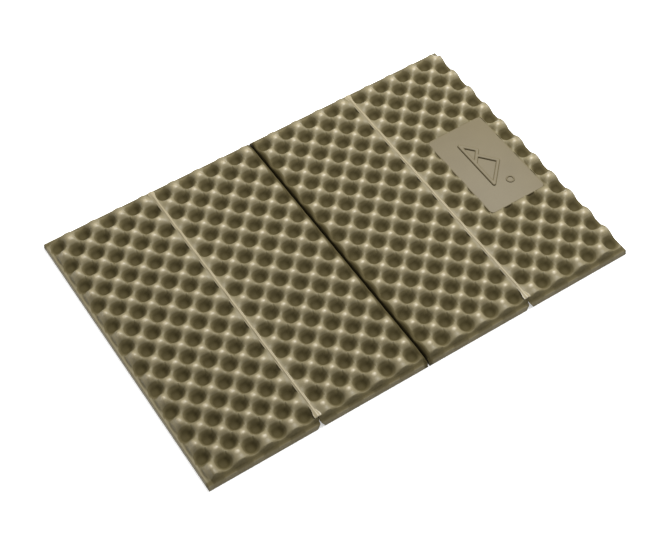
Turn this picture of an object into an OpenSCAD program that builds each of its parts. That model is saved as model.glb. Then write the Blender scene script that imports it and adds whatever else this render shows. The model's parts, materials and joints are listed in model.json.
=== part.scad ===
// Folding egg-crate foam pad: four panels, three live hinges and a blank label plaque.
// Origin on the floor at the middle of the pad, X along the pad, Y across it, +Z up.

/* [Egg-crate relief] */
// Distance from a bump to the next hollow
cell = 16; // [16:0.5:20]
// Bumps and hollows across one panel, always even so that folded panels nest
columns = 8; // [8:2:12]
// Bumps and hollows along one panel
rows = 22; // [18:2:32]
// Height of the bumps above the floor
height = 17; // [16:0.5:20]
// Foam left under the hollows
floor_t = 4.6; // [3.6:0.1:5.2]
// How far the ridges between two bumps lie below them
ridge_drop = 3.6; // [3:0.1:5]
// Depth of the dimples in the underside
dimple = 5.5; // [3:0.5:7]

/* [Edges] */
// Outermost bumps to the foot of the long side walls
side_margin = 16.5; // [14:0.5:18]
// Outermost bumps to the rim of the long sides
side_rim = 9.6; // [8:0.1:11]
// Free end bumps to the foot of the end walls
end_margin = 11.1; // [9:0.1:11.1]
// Free end bumps to the rim of the ends
end_rim = 6; // [5:0.1:7]
// Share of the relief that is left at a rim
rim_share = 0.45; // [0.2:0.05:0.5]
// Height of the flange outside the rims
flange_t = 6.5; // [4:0.1:7]

/* [Live hinges] */
// Bumps beside a hinge to the hinge line
hinge_margin = 11.4; // [11.4:0.1:13]
// Radius of the pressed web along the top of an upward fold
bead_r = 1; // [1:0.1:1.6]
// Half width of the groove under an upward fold, at the floor
groove = 4.4; // [2.5:0.1:6]
// Half width of the slot above the downward fold
slot = 1; // [0.8:0.1:1.5]
// Thickness of the web under the downward fold
low_web_t = 0.8; // [0.5:0.1:1.2]

/* [Label plaque] */
// Plaque size across the panel
plaque_w = 77; // [50:1:77]
// Plaque size along the panel
plaque_l = 128; // [80:1:128]
// Corner radius of the plaque
plaque_r = 8; // [4:0.5:14]
// Depth of the plaque's face below the bumps
plaque_sink = 4.4; // [3.5:0.1:6]
// Width of the step round the plaque's face
plaque_step = 1.2; // [0.6:0.1:2]

/* [Hidden] */

// Clearance between solids that turn against each other
gap = 0.3;
// Height of the step round the plaque's face
step_h = 0.4;
// How deep the plaque is let into the foam under the hollows
plaque_bed = 0.8;
$fn = 64;

ridge_z = height - ridge_drop;
flank_z = (height + floor_t) / 2 + 0.5;
side_rim_z = ridge_z - 1.5;
end_rim_z = flange_t + 3;
slot_rim_z = ridge_z - 2;
top_axis_z = ridge_z + gap;
pitch = (columns - 1) * cell + 2 * hinge_margin;
half_rows = (rows - 1) * cell / 2;
half_len = half_rows + side_margin;
bead_len = 2 * (half_rows + side_rim);
plaque_top = height - plaque_sink;
plaque_base = floor_t - plaque_bed;
plaque_x = pitch + hinge_margin + columns * cell / 2;

foam = [0.54, 0.49, 0.36];
web_foam = [0.70, 0.65, 0.50];
plaque_foam = [0.58, 0.53, 0.42];

// A station is a place on one axis where the relief is sampled: [place at the top, place at the
// foot, lattice, level, share]. The lattice is 1 or -1 on a row of bumps and hollows and 0 half
// way between rows. The surface lies at the level, plus that share of the relief.

// Beyond a row at "at", on the side "dir", come the rim and the flange of an outer edge
function outer_edge(at, dir, sign, rim, rim_level, margin) = [
  [at + dir * rim, at + dir * rim, sign, rim_level, rim_share],
  [at + dir * (rim + 1), at + dir * (rim + 1), sign, flange_t + 1, 0],
  [at + dir * (margin - 0.6), at + dir * margin, sign, flange_t, 0]
];
// or the rim beside a hinge line
function hinge_edge(at, dir, sign, rim, foot, rim_level, share) = [
  [at + dir * (hinge_margin - rim), at + dir * (hinge_margin - foot), sign, rim_level, share]
];
function edge(kind, at, dir, sign) =
  kind == "side" ? outer_edge(at, dir, sign, side_rim, side_rim_z, side_margin)
  : kind == "end" ? outer_edge(at, dir, sign, end_rim, end_rim_z, end_margin)
  : kind == "up" ? hinge_edge(at, dir, sign, bead_r + gap, groove, ridge_z, 0)
  : hinge_edge(at, dir, sign, slot, slot, slot_rim_z, rim_share);
function stations(count, from, low_kind, high_kind) =
  let (
    last = from + (count - 1) * cell,
    low = edge(low_kind, from, -1, 1),
    high = edge(high_kind, last, 1, cos(180 * (count - 1)))
  )
  concat(
    [for (k = [len(low) - 1:-1:0]) low[k]],
    [for (k = [0:2 * count - 2]) let (p = from + k * cell / 2) [p, p, cos(90 * k), height, 1]],
    high
  );

function relief(lattice) = lattice > 0.5 ? height : lattice < -0.5 ? floor_t : flank_z;
function top_z(s, t) =
  let (
    level = min(s[3], t[3]),
    saddle = abs(s[2]) < 0.5 && abs(t[2]) < 0.5,
    z = saddle ? ridge_z : relief(s[2] * t[2])
  )
  level + (z - level) * s[4] * t[4];
function in_plaque(x, y) = abs(x - plaque_x) < plaque_w / 2 + cell / 2
  && abs(y) < plaque_l / 2 + cell / 2;
function foot_z(s, t) =
  s[2] * t[2] * s[4] * t[4] > 0.99 && !in_plaque(s[1], t[1]) ? dimple : 0;

// Every cell is cut from its bump or hollow outwards, so folded panels have matching facets.
function halves(a, b, c, d, even) = even ? [[a, b, c], [a, c, d]] : [[b, c, d], [b, d, a]];

// One panel from its stations across (s) and along (t)
module panel(s, t) {
  nx = len(s);
  ny = len(t);
  tops = [for (p = s) for (q = t) [p[0], q[0], top_z(p, q)]];
  feet = [for (p = s) for (q = t) [p[1], q[1], foot_z(p, q)]];
  under = nx * ny;
  cells = [
    for (i = [0:nx - 2]) for (j = [0:ny - 2])
      let (a = i * ny + j, even = (i + j) % 2 == 0)
      [[a, a + 1, a + ny + 1, a + ny], even]
  ];
  roof = [for (c = cells) each halves(c[0][0], c[0][1], c[0][2], c[0][3], c[1])];
  base = [for (f = roof) [f[0] + under, f[2] + under, f[1] + under]];
  ring = concat(
    [for (i = [0:nx - 2]) i * ny],
    [for (j = [0:ny - 2]) (nx - 1) * ny + j],
    [for (i = [nx - 1:-1:1]) i * ny + ny - 1],
    [for (j = [ny - 1:-1:1]) j]
  );
  walls = [
    for (k = [0:len(ring) - 1])
      let (a = ring[k], b = ring[(k + 1) % len(ring)])
      each [[a, b, b + under], [a, b + under, a + under]]
  ];
  polyhedron(concat(tops, feet), concat(roof, base, walls));
}

across = stations(rows, -half_rows, "side", "side");

module left_end_panel() {
  color(foam)
    panel(stations(columns, -2 * pitch + hinge_margin, "end", "up"), across);
}

module left_inner_panel() {
  color(foam)
    panel(stations(columns, -pitch + hinge_margin, "up", "down"), across);
}

module right_inner_panel() {
  color(foam)
    panel(stations(columns, hinge_margin, "down", "up"), across);
}

module right_end_panel() {
  color(foam)
    difference() {
      panel(stations(columns, pitch + hinge_margin, "up", "end"), across);
      translate([plaque_x, 0, plaque_base])
        linear_extrude(height)
          rounded_rect(plaque_w, plaque_l, plaque_r);
    }
}

module rounded_rect(w, l, r) {
  square([w - 2 * r, l], center = true);
  square([w, l - 2 * r], center = true);
  for (x = [-1, 1], y = [-1, 1])
    translate([x * (w / 2 - r), y * (l / 2 - r)])
      circle(r);
}

// The web of an upward fold: a round bead on the hinge line, with a lip that meets the groove
// wall of the inner panel, which is on its +X side at the left fold
module top_hinge() {
  lip_top = ridge_z - 0.1;
  lip_low = ridge_z - 0.9;
  lean = (groove - bead_r - gap) / ridge_z;
  reach_top = bead_r + gap + lean * (ridge_z - lip_top);
  reach_low = bead_r + gap + lean * (ridge_z - lip_low);
  color(web_foam)
    translate([-pitch, 0, 0])
      rotate([90, 0, 0]) {
        translate([0, top_axis_z, -bead_len / 2])
          cylinder(bead_len, r = bead_r);
        translate([0, 0, -half_rows])
          linear_extrude(2 * half_rows)
            polygon([[0, lip_low], [reach_low, lip_low], [reach_top, lip_top], [0, lip_top]]);
      }
}

module left_top_hinge() {
  top_hinge();
}

module right_top_hinge() {
  mirror([1, 0, 0])
    top_hinge();
}

// The web of the downward fold: a strip that closes the bottom of the slot
module middle_low_hinge() {
  color(web_foam)
    translate([-slot, -bead_len / 2, 0])
      cube([2 * slot - gap, bead_len, low_web_t]);
}

module label_plaque() {
  color(plaque_foam)
    translate([plaque_x, 0, plaque_base]) {
      linear_extrude(plaque_top - step_h - plaque_base)
        rounded_rect(plaque_w, plaque_l, plaque_r);
      linear_extrude(plaque_top - plaque_base)
        rounded_rect(plaque_w - 2 * plaque_step, plaque_l - 2 * plaque_step, plaque_r);
    }
}

left_end_panel();
left_inner_panel();
right_inner_panel();
right_end_panel();
left_top_hinge();
middle_low_hinge();
right_top_hinge();
label_plaque();
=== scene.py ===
import json
import math
import bpy
import numpy as np
from mathutils import Matrix, Vector


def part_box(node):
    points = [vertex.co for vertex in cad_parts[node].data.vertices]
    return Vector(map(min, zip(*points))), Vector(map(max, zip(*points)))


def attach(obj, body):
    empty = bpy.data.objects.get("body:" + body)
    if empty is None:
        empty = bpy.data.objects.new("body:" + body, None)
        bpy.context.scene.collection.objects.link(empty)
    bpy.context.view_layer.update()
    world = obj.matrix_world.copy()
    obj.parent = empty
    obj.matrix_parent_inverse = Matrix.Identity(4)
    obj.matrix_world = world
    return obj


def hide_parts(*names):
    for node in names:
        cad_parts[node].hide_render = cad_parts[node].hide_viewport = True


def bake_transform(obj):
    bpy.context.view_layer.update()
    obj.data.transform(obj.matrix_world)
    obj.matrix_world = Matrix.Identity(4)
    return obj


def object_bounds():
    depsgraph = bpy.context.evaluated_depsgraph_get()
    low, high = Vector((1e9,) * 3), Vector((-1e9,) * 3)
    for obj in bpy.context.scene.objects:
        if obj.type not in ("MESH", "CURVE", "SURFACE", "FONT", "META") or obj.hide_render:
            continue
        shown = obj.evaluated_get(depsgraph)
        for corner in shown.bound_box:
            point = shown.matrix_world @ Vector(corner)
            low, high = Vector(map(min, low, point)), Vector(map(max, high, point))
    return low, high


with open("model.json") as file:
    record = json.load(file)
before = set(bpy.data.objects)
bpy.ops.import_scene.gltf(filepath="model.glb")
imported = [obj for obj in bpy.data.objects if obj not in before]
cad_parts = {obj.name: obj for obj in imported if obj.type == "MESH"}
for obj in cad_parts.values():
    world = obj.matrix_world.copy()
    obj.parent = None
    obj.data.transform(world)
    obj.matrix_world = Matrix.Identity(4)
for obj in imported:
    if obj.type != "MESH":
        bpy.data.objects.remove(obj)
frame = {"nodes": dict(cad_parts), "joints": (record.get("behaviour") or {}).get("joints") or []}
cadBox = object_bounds()
hingeAt = {j["name"]: Vector(j["pos_m"]) for j in frame["joints"]}
print("frame loaded,", len(frame["nodes"]), "CAD nodes")

# the egg-crate lattice that all four panels share, in metres
lattice = {
    "cell": 0.016,           # from a bump to the next hollow
    "columns": 8,
    "rows": 22,
    "hingeMargin": 0.0114,   # from the outermost bumps to a hinge line
    "floorFoam": 0.0046,     # foam left under a hollow
    "ridgeDrop": 0.0036,     # ridges between bumps lie this far below them
    "bumpReach": 0.62,       # radius of a bump, in cells
    "wellFloor": 0.15,       # radius of a hollow's floor and of its mouth, in cells
    "wellMouth": 0.76,
    "dimple": 0.0055,        # depth of the hollows in the underside
    "dimpleReach": 0.5,      # their radius and the width of their flanks, in cells
    "dimpleFlank": 0.42,
}

# edges a panel can have: distances run outwards from the outermost row of bumps
# the last two values of an outer edge are painted shade: a dark line where the short wall under the rim
# meets the flange, and a darker tone over that wall and the flange
longSide = {"outer": True, "foot": 0.0165, "rim": 0.0098, "rimZ": 0.0121, "wave": 0.0024,
            "flangeZ": 0.0066, "flangeRound": 0.0036, "wall": 0.0026, "paintedEdgeShade": 0.30,
            "paintedFlangeShade": 0.10}
freeEnd = {"outer": True, "foot": 0.0111, "rim": 0.0052, "rimZ": 0.0090, "wave": 0.0016,
           "flangeZ": 0.0066, "flangeRound": 0.0016, "wall": 0.0026, "paintedEdgeShade": 0.04,
           "paintedFlangeShade": 0}
farEnd = {"outer": True, "foot": 0.0111, "rim": 0.0080, "rimZ": 0.0124, "wave": 0.0028,
          "flangeZ": 0.0066, "flangeRound": 0.0014, "wall": 0.0016, "paintedEdgeShade": 0.30,
          "paintedFlangeShade": 0.10}
upFold = {"outer": False, "foot": 0.0070, "rim": 0.0101, "round": 0}
downFold = {"outer": False, "foot": 0.0104, "rim": 0.0104, "round": 0.0055}

# what all edges of a kind have in common
edgeShape = {
    "cornerReach": 0.65,     # the wave of a rim dies out this far past the last row, in cells
    "cornerDrop": 0.7,       # share of its height over the flange that a rim loses at a corner
    "flangeExponent": 3.2,   # a higher one makes the edge of the flange squarer
    "lipDrop": 0.9,          # share of its full round by which the lip of the downward fold drops
    # the next value is painted shade on the lip of the downward fold, darkest at the slot
    "lipShade": 0.9,
}

# loop spacing: over the relief, and the finer one that reaches out from each sharp place
loops = {
    "step": 0.0014,
    "fineStep": 0.00042,
    "rimShift": 0.0004,      # the middle of the fine loops lies this far outside a rim
    "rimReach": 0.0014,
    "footReach": 0.0016,
    "foldReach": 0.0025,
    "samples": 6000,
    "wallRows": 5,
}

topZ = cadBox[1].z
ridgeZ = topZ - lattice["ridgeDrop"]
halfRows = (lattice["rows"] - 1) * lattice["cell"] / 2


# small helpers

def deselectAll():
    if bpy.context.object and bpy.context.object.mode != "OBJECT":
        bpy.ops.object.mode_set(mode="OBJECT")
    bpy.ops.object.select_all(action="DESELECT")


def activate(obj):
    deselectAll()
    obj.select_set(True)
    bpy.context.view_layer.objects.active = obj


def shadeSmooth(obj, degrees):
    activate(obj)
    bpy.ops.object.shade_smooth_by_angle(angle=math.radians(degrees))


def readPoints(obj):
    co = np.empty(len(obj.data.vertices) * 3)
    obj.data.vertices.foreach_get("co", co)
    return co.reshape(-1, 3)


def writePoints(obj, co):
    obj.data.vertices.foreach_set("co", np.ascontiguousarray(co).ravel())
    obj.data.update()


def edgeEnds(obj):
    co = readPoints(obj)
    ends = np.empty(len(obj.data.edges) * 2, int)
    obj.data.edges.foreach_get("vertices", ends)
    ends = ends.reshape(-1, 2)
    return co[ends[:, 0]], co[ends[:, 1]]


def pickEdges(obj, wanted):
    # the selection that edit mode opens with
    bpy.context.tool_settings.mesh_select_mode = (False, True, False)
    obj.data.vertices.foreach_set("select", np.zeros(len(obj.data.vertices), bool))
    obj.data.polygons.foreach_set("select", np.zeros(len(obj.data.polygons), bool))
    obj.data.edges.foreach_set("select", wanted)


def loopCutBox(name, cuts):
    # a unit cube cut into cuts[0] x cuts[1] x cuts[2] cells, open to sculpting by index
    deselectAll()
    bpy.ops.mesh.primitive_cube_add(size=1, location=(0.5, 0.5, 0.5))
    obj = bpy.context.object
    obj.name = name
    bpy.ops.object.transform_apply(location=True, rotation=True, scale=True)
    for axis, count in enumerate(cuts):
        a, b = edgeEnds(obj)
        pickEdges(obj, np.abs(a[:, axis] - b[:, axis]) > 0.5)
        bpy.ops.object.mode_set(mode="EDIT")
        bpy.ops.mesh.subdivide(number_cuts=count - 1)
        bpy.ops.object.mode_set(mode="OBJECT")
    return obj


def smooth(t):
    t = np.clip(t, 0, 1)
    return t * t * (3 - 2 * t)


# the four panels: hinge line, side of it that they lie on, and edges at low X and at high X

panels = {
    "left_end_panel": (hingeAt["fold_left"].x, -1, freeEnd, upFold),
    "left_inner_panel": (hingeAt["fold_left"].x, 1, upFold, downFold),
    "right_inner_panel": (hingeAt["fold_middle"].x, 1, downFold, upFold),
    "right_end_panel": (hingeAt["fold_right"].x, 1, upFold, farEnd),
}
bodyOf = {"left_end_panel": "left_end", "left_inner_panel": "left_inner",
          "right_inner_panel": "right_inner", "right_end_panel": "right_end"}
plaqueLow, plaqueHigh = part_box("label_plaque")

# parts of the foam's painted shade, which runs from 0 on top of a bump, a painted highlight, to 1 in the
# deepest places, which are painted darkest
paintedShadeOf = {"ridge": 0.3, "hollow": 0.7, "wall": 0.55, "foldWall": 1, "plaqueFlank": 0.42}

# the groove under an upward fold, which is closed above the flange near the long sides
groove = {
    "reach": 0.012,          # the lean of its wall fades out this far into the panel
    "closeFrom": 0.002,      # it starts to close this far past the last row,
    "closeOver": 0.006,      # and is closed this much further on,
    "overFlange": 0.0004,    # down to this height over the flange
    "gap": 0.0002,           # between the hinge line and the closed wall
}

# the foam under the plaque, and the steep flank by which it rises to it
plaqueBed = {
    "inset": 0.0012,
    "below": 0.0020,         # under the plaque's face
    "flankBelow": 0.0005,    # where the flank starts, under that face
    "flankSlope": 2.2,
}


def gradedPlaces(low, high, sharp):
    # loop positions between two rims, closer together round the sharp places
    p = np.linspace(low, high, loops["samples"])
    density = np.full_like(p, 1 / loops["step"])
    for place, reach in sharp:
        density = np.where(np.abs(p - place) < reach, 1 / loops["fineStep"], density)
    run = np.concatenate([[0], np.cumsum((density[1:] + density[:-1]) / 2 * np.diff(p))])
    return np.interp(np.linspace(0, run[-1], round(run[-1]) + 1), run, p)


def sharpPlaces(edge, row, way):
    if edge["outer"]:
        return [(row + way * (edge["rim"] + loops["rimShift"]), loops["rimReach"]),
                (row + way * edge["foot"], loops["footReach"])]
    return [(row + way * edge["rim"], loops["foldReach"])]


def panelGrid(name):
    line, way, lowEdge, highEdge = panels[name]
    span = (lattice["columns"] - 1) * lattice["cell"]
    first = line + lattice["hingeMargin"] if way > 0 else line - lattice["hingeMargin"] - span
    last = first + span
    reach = [e["foot"] if e["outer"] else e["rim"] for e in (lowEdge, highEdge, longSide)]
    across = gradedPlaces(first - reach[0], last + reach[1],
                          sharpPlaces(lowEdge, first, -1) + sharpPlaces(highEdge, last, 1))
    along = gradedPlaces(-halfRows - reach[2], halfRows + reach[2],
                         sharpPlaces(longSide, -halfRows, -1) + sharpPlaces(longSide, halfRows, 1))
    return first, last, across, along


def nearest(x, y, first, parity):
    # distance in cells to the nearest bump (parity 0) or hollow (parity 1)
    farAway, lookWithin = 9.0, 1.5
    best = np.full_like(x, farAway)
    u, v = (x - first) / lattice["cell"], (y + halfRows) / lattice["cell"]
    for i in range(lattice["columns"]):
        for j in range((i + parity) % 2, lattice["rows"], 2):
            near = (np.abs(u - i) < lookWithin) & (np.abs(v - j) < lookWithin)
            best[near] = np.minimum(best[near], np.hypot(u[near] - i, v[near] - j))
    return best


def outerCap(beyond, edge, crest):
    # outside the rim: down a short wall and over the rounded flange
    past = np.clip((beyond - edge["rim"]) / edge["wall"], 0, 1)
    cap = crest + (edge["flangeZ"] - crest) * smooth(past)
    q = np.clip((beyond - edge["foot"] + edge["flangeRound"]) / edge["flangeRound"], 0, 1)
    power = edgeShape["flangeExponent"]
    return np.where(beyond > edge["rim"], cap * (1 - q ** power) ** (1 / power), 1.0)


def rimCrest(edge, along, count, hinges, row):
    # the wavy rim: its wave dies out past the last row, and it comes down at an outer corner
    past = np.clip(np.maximum(-along, along - count) / edgeShape["cornerReach"], 0, 1)
    corner = past * np.where(along < 0, not hinges[0], not hinges[1])
    crest = edge["rimZ"] + edge["wave"] * np.cos(np.pi * along) * (-1) ** row * (1 - past)
    return crest - (edge["rimZ"] - edge["flangeZ"]) * edgeShape["cornerDrop"] * smooth(corner)


def reliefHeight(name, x, y, first, last):
    # height of the relief and its painted shade, with a painted highlight on the bumps
    lowEdge, highEdge = panels[name][2:]
    toBump, toWell = nearest(x, y, first, 0), nearest(x, y, first, 1)
    bell = 0.5 + 0.5 * np.cos(np.pi * np.clip(toBump / lattice["bumpReach"], 0, 1))
    level = ridgeZ + (topZ - ridgeZ) * bell
    cap, paintedEdgeShade = np.ones_like(x), np.zeros_like(x)
    u, v = (x - first) / lattice["cell"], (y + halfRows) / lattice["cell"]
    lastColumn, lastRow = lattice["columns"] - 1, lattice["rows"] - 1
    atHinge = (not lowEdge["outer"], not highEdge["outer"])
    sides = (
        (-halfRows - y, u, lastColumn, atHinge, 0, longSide),
        (y - halfRows, u, lastColumn, atHinge, lastRow, longSide),
        (first - x, v, lastRow, (False, False), 0, lowEdge),
        (x - last, v, lastRow, (False, False), lastColumn, highEdge),
    )
    for beyond, along, count, hinges, row, edge in sides:
        if edge["outer"]:
            crest = rimCrest(edge, along, count, hinges, row)
            share = np.clip(beyond / edge["rim"], 0, 1)
            level = np.where(beyond > 0, level + (crest - level) * share, level)
            cap = np.minimum(cap, outerCap(beyond, edge, crest))
            # painted shade where the short wall under the rim meets the flange, and over the flange
            fold = (beyond - edge["rim"] - edge["wall"]) / edge["wall"]
            paintedEdgeShade = np.maximum(paintedEdgeShade, edge["paintedEdgeShade"] * np.exp(-fold * fold))
            paintedEdgeShade = np.maximum(paintedEdgeShade, edge["paintedFlangeShade"] * smooth(fold + 1))
        elif edge["round"]:
            t = np.clip(1 - (edge["rim"] - beyond) / edge["round"], 0, 1)
            level = level - edge["round"] * (1 - np.sqrt(1 - t * t)) * edgeShape["lipDrop"]
            # painted shade on the lip, darker towards the slot
            paintedEdgeShade = np.maximum(paintedEdgeShade, edgeShape["lipShade"] * t)
    well = 1 - smooth((toWell - lattice["wellFloor"]) / (lattice["wellMouth"] - lattice["wellFloor"]))
    roof = level - (level - lattice["floorFoam"]) * well
    # painted shade in the hollows, and a painted highlight on top of the bumps that fades over the
    # ridges
    paintedHollowShade = paintedShadeOf["hollow"] * well * (roof <= cap)
    return np.minimum(roof, cap), paintedShadeOf["ridge"] * (1 - bell) + np.maximum(paintedHollowShade, paintedEdgeShade)


def beddedPlaque(gx, gy, roofGrid, paintedShadeGrid):
    inset = plaqueBed["inset"]
    under = ((gx > plaqueLow.x + inset) & (gx < plaqueHigh.x - inset)
             & (gy > plaqueLow.y + inset) & (gy < plaqueHigh.y - inset))
    offX = np.maximum(plaqueLow.x - gx, gx - plaqueHigh.x)
    offY = np.maximum(plaqueLow.y - gy, gy - plaqueHigh.y)
    drop = plaqueBed["flankSlope"] * np.maximum(np.maximum(offX, offY), 0)
    flank = plaqueHigh.z - plaqueBed["flankBelow"] - drop
    # painted shade on the flank that rises to the plaque
    paintedShadeGrid = np.where(flank > roofGrid, paintedShadeOf["plaqueFlank"], paintedShadeGrid)
    roofGrid = np.maximum(roofGrid, flank)
    return np.where(under, plaqueHigh.z - plaqueBed["below"], roofGrid), paintedShadeGrid


def grooveSlant(edges, across, x, y, roof, down):
    # the wall of the groove leans back from the rim to the foot
    nearSide = smooth((np.abs(y) - halfRows - groove["closeFrom"]) / groove["closeOver"])
    flangeTop = longSide["flangeZ"] + groove["overFlange"]
    lower = np.clip(1 - roof * (1 - down) / flangeTop, 0, 1)
    slant = np.zeros_like(x)
    for edge, rimX, sign in zip(edges, (across[0], across[-1]), (1, -1)):
        back = 0 if edge["outer"] else edge["rim"] - edge["foot"]
        if back > 0:
            shut = (lattice["hingeMargin"] - edge["rim"] - groove["gap"]) * (1 - lower)
            push = back * (down + (lower - down) * nearSide) - shut * nearSide
            slant += sign * push * np.clip(1 - np.abs(x - rimX) / groove["reach"], 0, 1)
    return slant


def moulded(name):
    lowEdge, highEdge = panels[name][2:]
    first, last, across, along = panelGrid(name)
    nx, ny, nz = len(across) - 1, len(along) - 1, loops["wallRows"]
    obj = loopCutBox(name.replace("_panel", "_foam"), (nx, ny, nz))
    i, j, k = np.rint(readPoints(obj) * (nx, ny, nz)).astype(int).T
    gx, gy = np.meshgrid(across, along, indexing="ij")
    roofGrid, paintedShadeGrid = reliefHeight(name, gx.ravel(), gy.ravel(), first, last)
    roofGrid, paintedShadeGrid = roofGrid.reshape(gx.shape), paintedShadeGrid.reshape(gx.shape)
    if name == "right_end_panel":
        roofGrid, paintedShadeGrid = beddedPlaque(gx, gy, roofGrid, paintedShadeGrid)
    toBump = nearest(gx.ravel(), gy.ravel(), first, 0).reshape(gx.shape)
    inDimple = smooth((lattice["dimpleReach"] - toBump) / lattice["dimpleFlank"])
    soleGrid = lattice["dimple"] * inDimple
    x, y, roof = across[i], along[j], roofGrid[i, j]
    down = 1 - k / nz
    slant = grooveSlant((lowEdge, highEdge), across, x, y, roof, down)
    onRim = (i == 0) | (i == nx) | (j == 0) | (j == ny)
    z = np.where(onRim, roof * (1 - down), roof)
    z = np.where((k == 0) & ~onRim, soleGrid[i, j], z)
    writePoints(obj, np.stack([x + slant, y, z], 1))
    # painted shade: the top keeps its painted shade and highlight, walls and underside are painted
    # darker, and the walls of a fold darkest
    shade = np.where(k == nz, paintedShadeGrid[i, j], paintedShadeOf["wall"])
    foldWall = ((i == 0) & (not lowEdge["outer"])) | ((i == nx) & (not highEdge["outer"]))
    shade = np.where(foldWall & (k < nz), paintedShadeOf["foldWall"], shade)
    # the attribute "hollow" carries this painted shade and highlight to the material
    hollow = obj.data.attributes.new("hollow", "FLOAT", "POINT")
    hollow.data.foreach_set("value", shade.astype(np.float32))
    shadeSmooth(obj, 60)
    return obj


# materials: a cloudy tone, with painted shade where the attribute "hollow" is high and a painted
# highlight where it is 0 on the bump tops, under a fine skin

foamLook = {
    "dark": (0.290, 0.248, 0.160),
    "light": (0.335, 0.290, 0.190),
    "cloudScale": 14,
    "cloudDetail": 4,
    # painted highlight and shade, multiplied into the tone: from the bumps, at 0, over the ridges, at
    # 0.3, to the hollows, towards 1
    "shades": ((0, (1, 1, 1)), (0.10, (0.64, 0.63, 0.56)), (0.3, (0.49, 0.48, 0.40)),
               (0.5, (0.27, 0.25, 0.15)), (0.85, (0.130, 0.112, 0.030))),
    "skinScale": 900,
    "skinDetail": 3,
    "roughness": 0.44,
    "pitRoughness": 0.85,
    "pitRange": (0.2, 0.5),  # the skin gets rougher between these two shades
    "bump": 0.25,
    "bumpDepth": 0.0003,
    "specular": 0.32,
}
pressedLook = dict(foamLook, dark=(0.225, 0.190, 0.115), light=(0.275, 0.236, 0.150), cloudScale=60,
                   roughness=0.36, bump=0.15)
labelLook = dict(foamLook, dark=(0.100, 0.080, 0.041), light=(0.128, 0.104, 0.055), cloudScale=22,
                 skinScale=260, roughness=0.55, bump=0.12, specular=0.25)


def foamMaterial(name, look):
    mat = bpy.data.materials.new(name)
    mat.use_nodes = True
    nodes, links = mat.node_tree.nodes, mat.node_tree.links
    shader = nodes["Principled BSDF"]
    place = nodes.new("ShaderNodeTexCoord")
    mixA, mixB, mixed = 6, 7, 2   # the colour sockets of a mix node
    cloudy = nodes.new("ShaderNodeTexNoise")
    cloudy.inputs["Scale"].default_value = look["cloudScale"]
    cloudy.inputs["Detail"].default_value = look["cloudDetail"]
    links.new(place.outputs["Object"], cloudy.inputs["Vector"])
    tone = nodes.new("ShaderNodeMix")
    tone.data_type = "RGBA"
    tone.inputs[mixA].default_value = (*look["dark"], 1)
    tone.inputs[mixB].default_value = (*look["light"], 1)
    links.new(cloudy.outputs["Fac"], tone.inputs["Factor"])
    # painted highlight and shade: the attribute "hollow" picks a tone from the ramp, which is multiplied
    # into the cloudy colour
    depth = nodes.new("ShaderNodeAttribute")
    depth.attribute_name = "hollow"
    ramp = nodes.new("ShaderNodeValToRGB")
    ramp.color_ramp.interpolation = "EASE"
    while len(ramp.color_ramp.elements) < len(look["shades"]):
        ramp.color_ramp.elements.new(0.5)
    for stop, (at, colour) in zip(ramp.color_ramp.elements, look["shades"]):
        stop.position = at
        stop.color = (*colour, 1)
    links.new(depth.outputs["Fac"], ramp.inputs["Fac"])
    shaded = nodes.new("ShaderNodeMix")
    shaded.data_type = "RGBA"
    shaded.blend_type = "MULTIPLY"
    shaded.inputs["Factor"].default_value = 1
    links.new(tone.outputs[mixed], shaded.inputs[mixA])
    links.new(ramp.outputs["Color"], shaded.inputs[mixB])
    links.new(shaded.outputs[mixed], shader.inputs["Base Color"])
    gloss = nodes.new("ShaderNodeMapRange")
    gloss.inputs["From Min"].default_value = look["pitRange"][0]
    gloss.inputs["From Max"].default_value = look["pitRange"][1]
    gloss.inputs["To Min"].default_value = look["roughness"]
    gloss.inputs["To Max"].default_value = look["pitRoughness"]
    links.new(depth.outputs["Fac"], gloss.inputs["Value"])
    links.new(gloss.outputs["Result"], shader.inputs["Roughness"])
    skin = nodes.new("ShaderNodeTexNoise")
    skin.inputs["Scale"].default_value = look["skinScale"]
    skin.inputs["Detail"].default_value = look["skinDetail"]
    links.new(place.outputs["Object"], skin.inputs["Vector"])
    bump = nodes.new("ShaderNodeBump")
    bump.inputs["Strength"].default_value = look["bump"]
    bump.inputs["Distance"].default_value = look["bumpDepth"]
    links.new(skin.outputs["Fac"], bump.inputs["Height"])
    links.new(bump.outputs["Normal"], shader.inputs["Normal"])
    shader.inputs["Specular IOR Level"].default_value = look["specular"]
    return mat


foam = foamMaterial("mouldedFoam", foamLook)
pressedFoam = foamMaterial("pressedFoam", pressedLook)
labelFoam = foamMaterial("labelFoam", labelLook)

for name in panels:
    piece = moulded(name)
    piece.data.materials.append(foam)
    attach(piece, bodyOf[name])
    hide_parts(name)
    print("panel", piece.name, len(piece.data.polygons), "faces")


# the pressed webs of the folds

web = {
    "half": 0.0021,          # half width of a top web, and of the bead along its middle
    "beadHalf": 0.0020,
    "beadUp": 0.0010,
    # how uneven the bead is along its length: share of its height, radians per metre, phase
    "ripples": ((0.16, 310, 0), (0.12, 127, 1.3)),
    "sink": 0.00015,         # how far its flat sides lie below the ridges
    "thick": 0.0012,
    "endWiden": 0.9,         # how much wider it gets at its two ends, past the last row
    "endReach": 0.006,
    "bend": 0.0012,          # the fold bends it this far to each side of the hinge line
    "lowHalf": 0.0026,
    "lowThick": 0.0007,
    "lowFloor": 0.00005,     # height of the low web's underside
    "lowBend": 0.001,
    "loops": (14, 150, 1),
}


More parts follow.
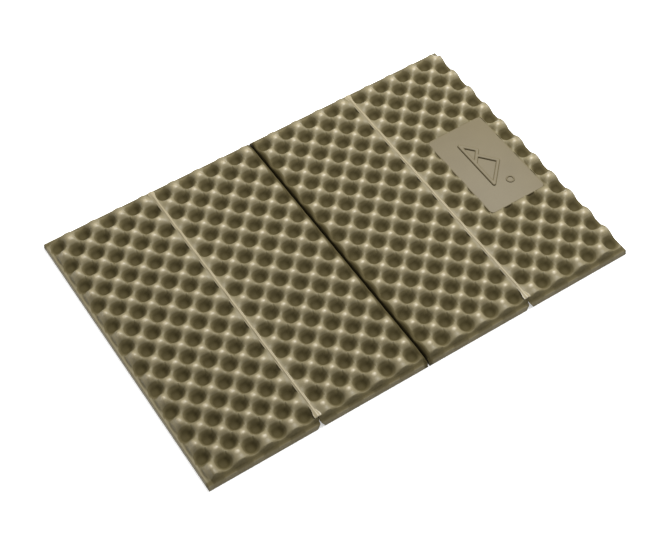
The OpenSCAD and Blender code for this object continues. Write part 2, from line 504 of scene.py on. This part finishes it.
def webStrip(name, lineX, half, widen, topOf, bottomOf):
    length = 2 * (halfRows + longSide["rim"])
    obj = loopCutBox(name, web["loops"])
    co = readPoints(obj)
    t = co[:, 0] * 2 - 1
    y = (co[:, 1] - 0.5) * length
    x = lineX + t * half * (1 + widen * smooth((np.abs(y) - halfRows) / web["endReach"]))
    top, bottom = topOf(t * half, y), bottomOf(t * half)
    writePoints(obj, np.stack([x, y, bottom + (top - bottom) * co[:, 2]], 1))
    shadeSmooth(obj, 50)
    return obj


def beadTop(dx, y):
    uneven = 1
    for share, rate, phase in web["ripples"]:
        uneven = uneven + share * np.sin(y * rate + phase)
    lift = np.cos(np.pi / 2 * np.clip(dx / web["beadHalf"], -1, 1)) ** 2
    return ridgeZ - web["sink"] + web["beadUp"] * uneven * lift


def topWeb(name, joint):
    line = hingeAt[joint].x
    obj = webStrip(name, line, web["half"], web["endWiden"], beadTop,
                   lambda dx: np.full_like(dx, ridgeZ - web["thick"]))
    obj.data.materials.append(pressedFoam)
    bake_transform(obj)
    return obj


leftWeb = topWeb("left_top_web", "fold_left")
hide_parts("left_top_hinge")
rightWeb = topWeb("right_top_web", "fold_right")
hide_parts("right_top_hinge")
lowWeb = webStrip("middle_low_web", hingeAt["fold_middle"].x, web["lowHalf"], 0,
                  lambda dx, y: np.full_like(dx, web["lowThick"]),
                  lambda dx: np.full_like(dx, web["lowFloor"]))
lowWeb.data.materials.append(pressedFoam)
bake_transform(lowWeb)
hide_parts("middle_low_hinge")
print("webs done")


# the label plaque, blank but for a raised mountain line and a small ring

plaque = {
    "cornerRadius": 0.006,
    "softEdge": 0.0011,
    "strokeWidth": 0.0046,
    "strokeUp": 0.0018,
    "strokeSink": 0.0010,    # how deep a stroke stands in the plaque
    "strokeSoft": 0.75,      # share of its height that its soft edge takes
    # a low peak in front of a high one, as lines on the plaque: (along Y, across X)
    "strokes": (((0.038, -0.010), (0.022, 0.004)), ((0.022, 0.004), (0.006, -0.010)),
                ((0.0156, -0.0016), (-0.004, 0.015)), ((-0.004, 0.015), (-0.030, -0.010)),
                ((0.038, -0.010), (-0.030, -0.010))),
    "ringAt": (-0.034, 0.010),
    "ringRadius": 0.0042,
    "ringThick": 0.0011,     # radius of the ring's own round section, half of which is sunk
    "markVoxel": 0.0003,
}
plaqueCentre = (plaqueLow + plaqueHigh) / 2


def bevelEdges(obj, wanted, width, segments):
    pickEdges(obj, wanted)
    bpy.ops.object.mode_set(mode="EDIT")
    bpy.ops.mesh.bevel(offset=width, segments=segments, affect="EDGES")
    bpy.ops.object.mode_set(mode="OBJECT")


def bevelTop(obj, above, width, segments):
    a, b = edgeEnds(obj)
    bevelEdges(obj, np.minimum(a[:, 2], b[:, 2]) > above, width, segments)


def joined(pieces):
    deselectAll()
    for piece in pieces:
        piece.select_set(True)
    bpy.context.view_layer.objects.active = pieces[0]
    bpy.ops.object.join()
    return pieces[0]


def plaqueBlock():
    deselectAll()
    bpy.ops.mesh.primitive_cube_add(size=1, location=plaqueCentre, scale=plaqueHigh - plaqueLow)
    obj = bpy.context.object
    obj.name = "label_plate"
    bpy.ops.object.transform_apply(location=True, rotation=True, scale=True)
    a, b = edgeEnds(obj)
    bevelEdges(obj, np.abs(a[:, 2] - b[:, 2]) > 0.001, plaque["cornerRadius"], 8)
    bevelTop(obj, plaqueHigh.z - 1e-5, plaque["softEdge"], 4)
    shadeSmooth(obj, 40)
    return obj


def onPlaque(along, across):
    # a place on the plaque, at the middle height of a stroke
    middle = plaqueHigh.z + plaque["strokeUp"] / 2 - plaque["strokeSink"] / 2
    return plaqueCentre.x + across, along, middle


def softened(obj):
    bpy.ops.object.transform_apply(location=True, rotation=True, scale=True)
    bevelTop(obj, plaqueHigh.z, plaque["strokeUp"] * plaque["strokeSoft"], 3)
    return obj


def stroke(start, end):
    a, b = Vector(start), Vector(end)
    mid, run = (a + b) / 2, b - a
    deselectAll()
    bpy.ops.mesh.primitive_cube_add(
        size=1, location=onPlaque(mid.x, mid.y), rotation=(0, 0, math.atan2(run.x, run.y)),
        scale=(run.length, plaque["strokeWidth"], plaque["strokeUp"] + plaque["strokeSink"]))
    return softened(bpy.context.object)


def strokeEnd(place):
    deselectAll()
    bpy.ops.mesh.primitive_cylinder_add(
        vertices=24, radius=plaque["strokeWidth"] / 2,
        depth=plaque["strokeUp"] + plaque["strokeSink"], location=onPlaque(*place))
    return softened(bpy.context.object)


def raisedMark():
    parts = [stroke(a, b) for a, b in plaque["strokes"]]
    parts += [strokeEnd(place) for place in sorted({p for line in plaque["strokes"] for p in line})]
    along, across = plaque["ringAt"]
    bpy.ops.mesh.primitive_torus_add(
        location=(plaqueCentre.x + across, along, plaqueHigh.z), major_radius=plaque["ringRadius"],
        minor_radius=plaque["ringThick"], major_segments=40, minor_segments=10)
    ring = bpy.context.object
    bpy.ops.object.transform_apply(location=True, rotation=True, scale=True)
    # the strokes and their round ends are joined and remeshed into one closed skin
    bars = joined(parts)
    for piece in (bars, ring):
        activate(piece)
        skin = piece.modifiers.new("skin", "REMESH")
        skin.mode = "VOXEL"
        skin.voxel_size = plaque["markVoxel"]
        bpy.ops.object.modifier_apply(modifier=skin.name)
    mark = joined([bars, ring])
    mark.name = "label_mark"
    shadeSmooth(mark, 40)
    return mark


plate = plaqueBlock()
mark = raisedMark()
for piece in (plate, mark):
    piece.data.materials.append(labelFoam)
    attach(piece, "right_end")
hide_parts("label_plaque")
print("plaque done")


# floor, light and camera

studioLook = {
    "floorSize": 40,
    "floorZ": -0.0002,
    "floorTone": 0.9,
    "floorRoughness": 0.9,
    "floorGlow": 0.5,
    "skyLight": 0.3,
    # place, size and power of each lamp, which all face the origin
    "lamps": (((0.2, 0.5, 2.2), 1.4, 24), ((0.84, 0.52, 1.8), 0.55, 62)),
}
# where the camera stands, and the directions of its view and of its right side
cameraView = {
    "at": (-0.5378, -0.8489, 1.3312),
    "forward": (0.31342, 0.49684, -0.80927),
    "right": (0.83747, -0.54636, -0.01109),
    "lens": 80.58,
    "sensor": 36,
    "clipStart": 0.05,
}


def layFloor():
    deselectAll()
    bpy.ops.mesh.primitive_plane_add(size=studioLook["floorSize"], location=(0, 0, studioLook["floorZ"]))
    floor = bpy.context.object
    floor.name = "floor"
    pale = bpy.data.materials.new("paleFloor")
    pale.use_nodes = True
    shader = pale.node_tree.nodes["Principled BSDF"]
    shader.inputs["Base Color"].default_value = (*[studioLook["floorTone"]] * 3, 1)
    shader.inputs["Roughness"].default_value = studioLook["floorRoughness"]
    shader.inputs["Emission Color"].default_value = (1, 1, 1, 1)
    shader.inputs["Emission Strength"].default_value = studioLook["floorGlow"]
    floor.data.materials.append(pale)


def lightStudio():
    world = bpy.data.worlds.new("studio")
    world.use_nodes = True
    sky = world.node_tree.nodes["Background"]
    sky.inputs["Color"].default_value = (1, 1, 1, 1)
    sky.inputs["Strength"].default_value = studioLook["skyLight"]
    bpy.context.scene.world = world
    for place, size, power in studioLook["lamps"]:
        bpy.ops.object.light_add(type="AREA", location=place)
        lamp = bpy.context.object
        lamp.data.size = size
        lamp.data.energy = power
        lamp.rotation_euler = Vector(place).to_track_quat("Z", "Y").to_euler()


def standCamera():
    bpy.ops.object.camera_add()
    cam = bpy.context.object
    forward = Vector(cameraView["forward"]).normalized()
    right = Vector(cameraView["right"]).normalized()
    up = right.cross(forward)
    turn = Matrix((right, up, -forward)).transposed()
    cam.matrix_world = Matrix.Translation(cameraView["at"]) @ turn.to_4x4()
    cam.data.sensor_width = cameraView["sensor"]
    cam.data.lens = cameraView["lens"]
    cam.data.clip_start = cameraView["clipStart"]
    bpy.context.scene.camera = cam


layFloor()
lightStudio()
standCamera()
bpy.context.scene.view_settings.view_transform = "Standard"
print("studio done")
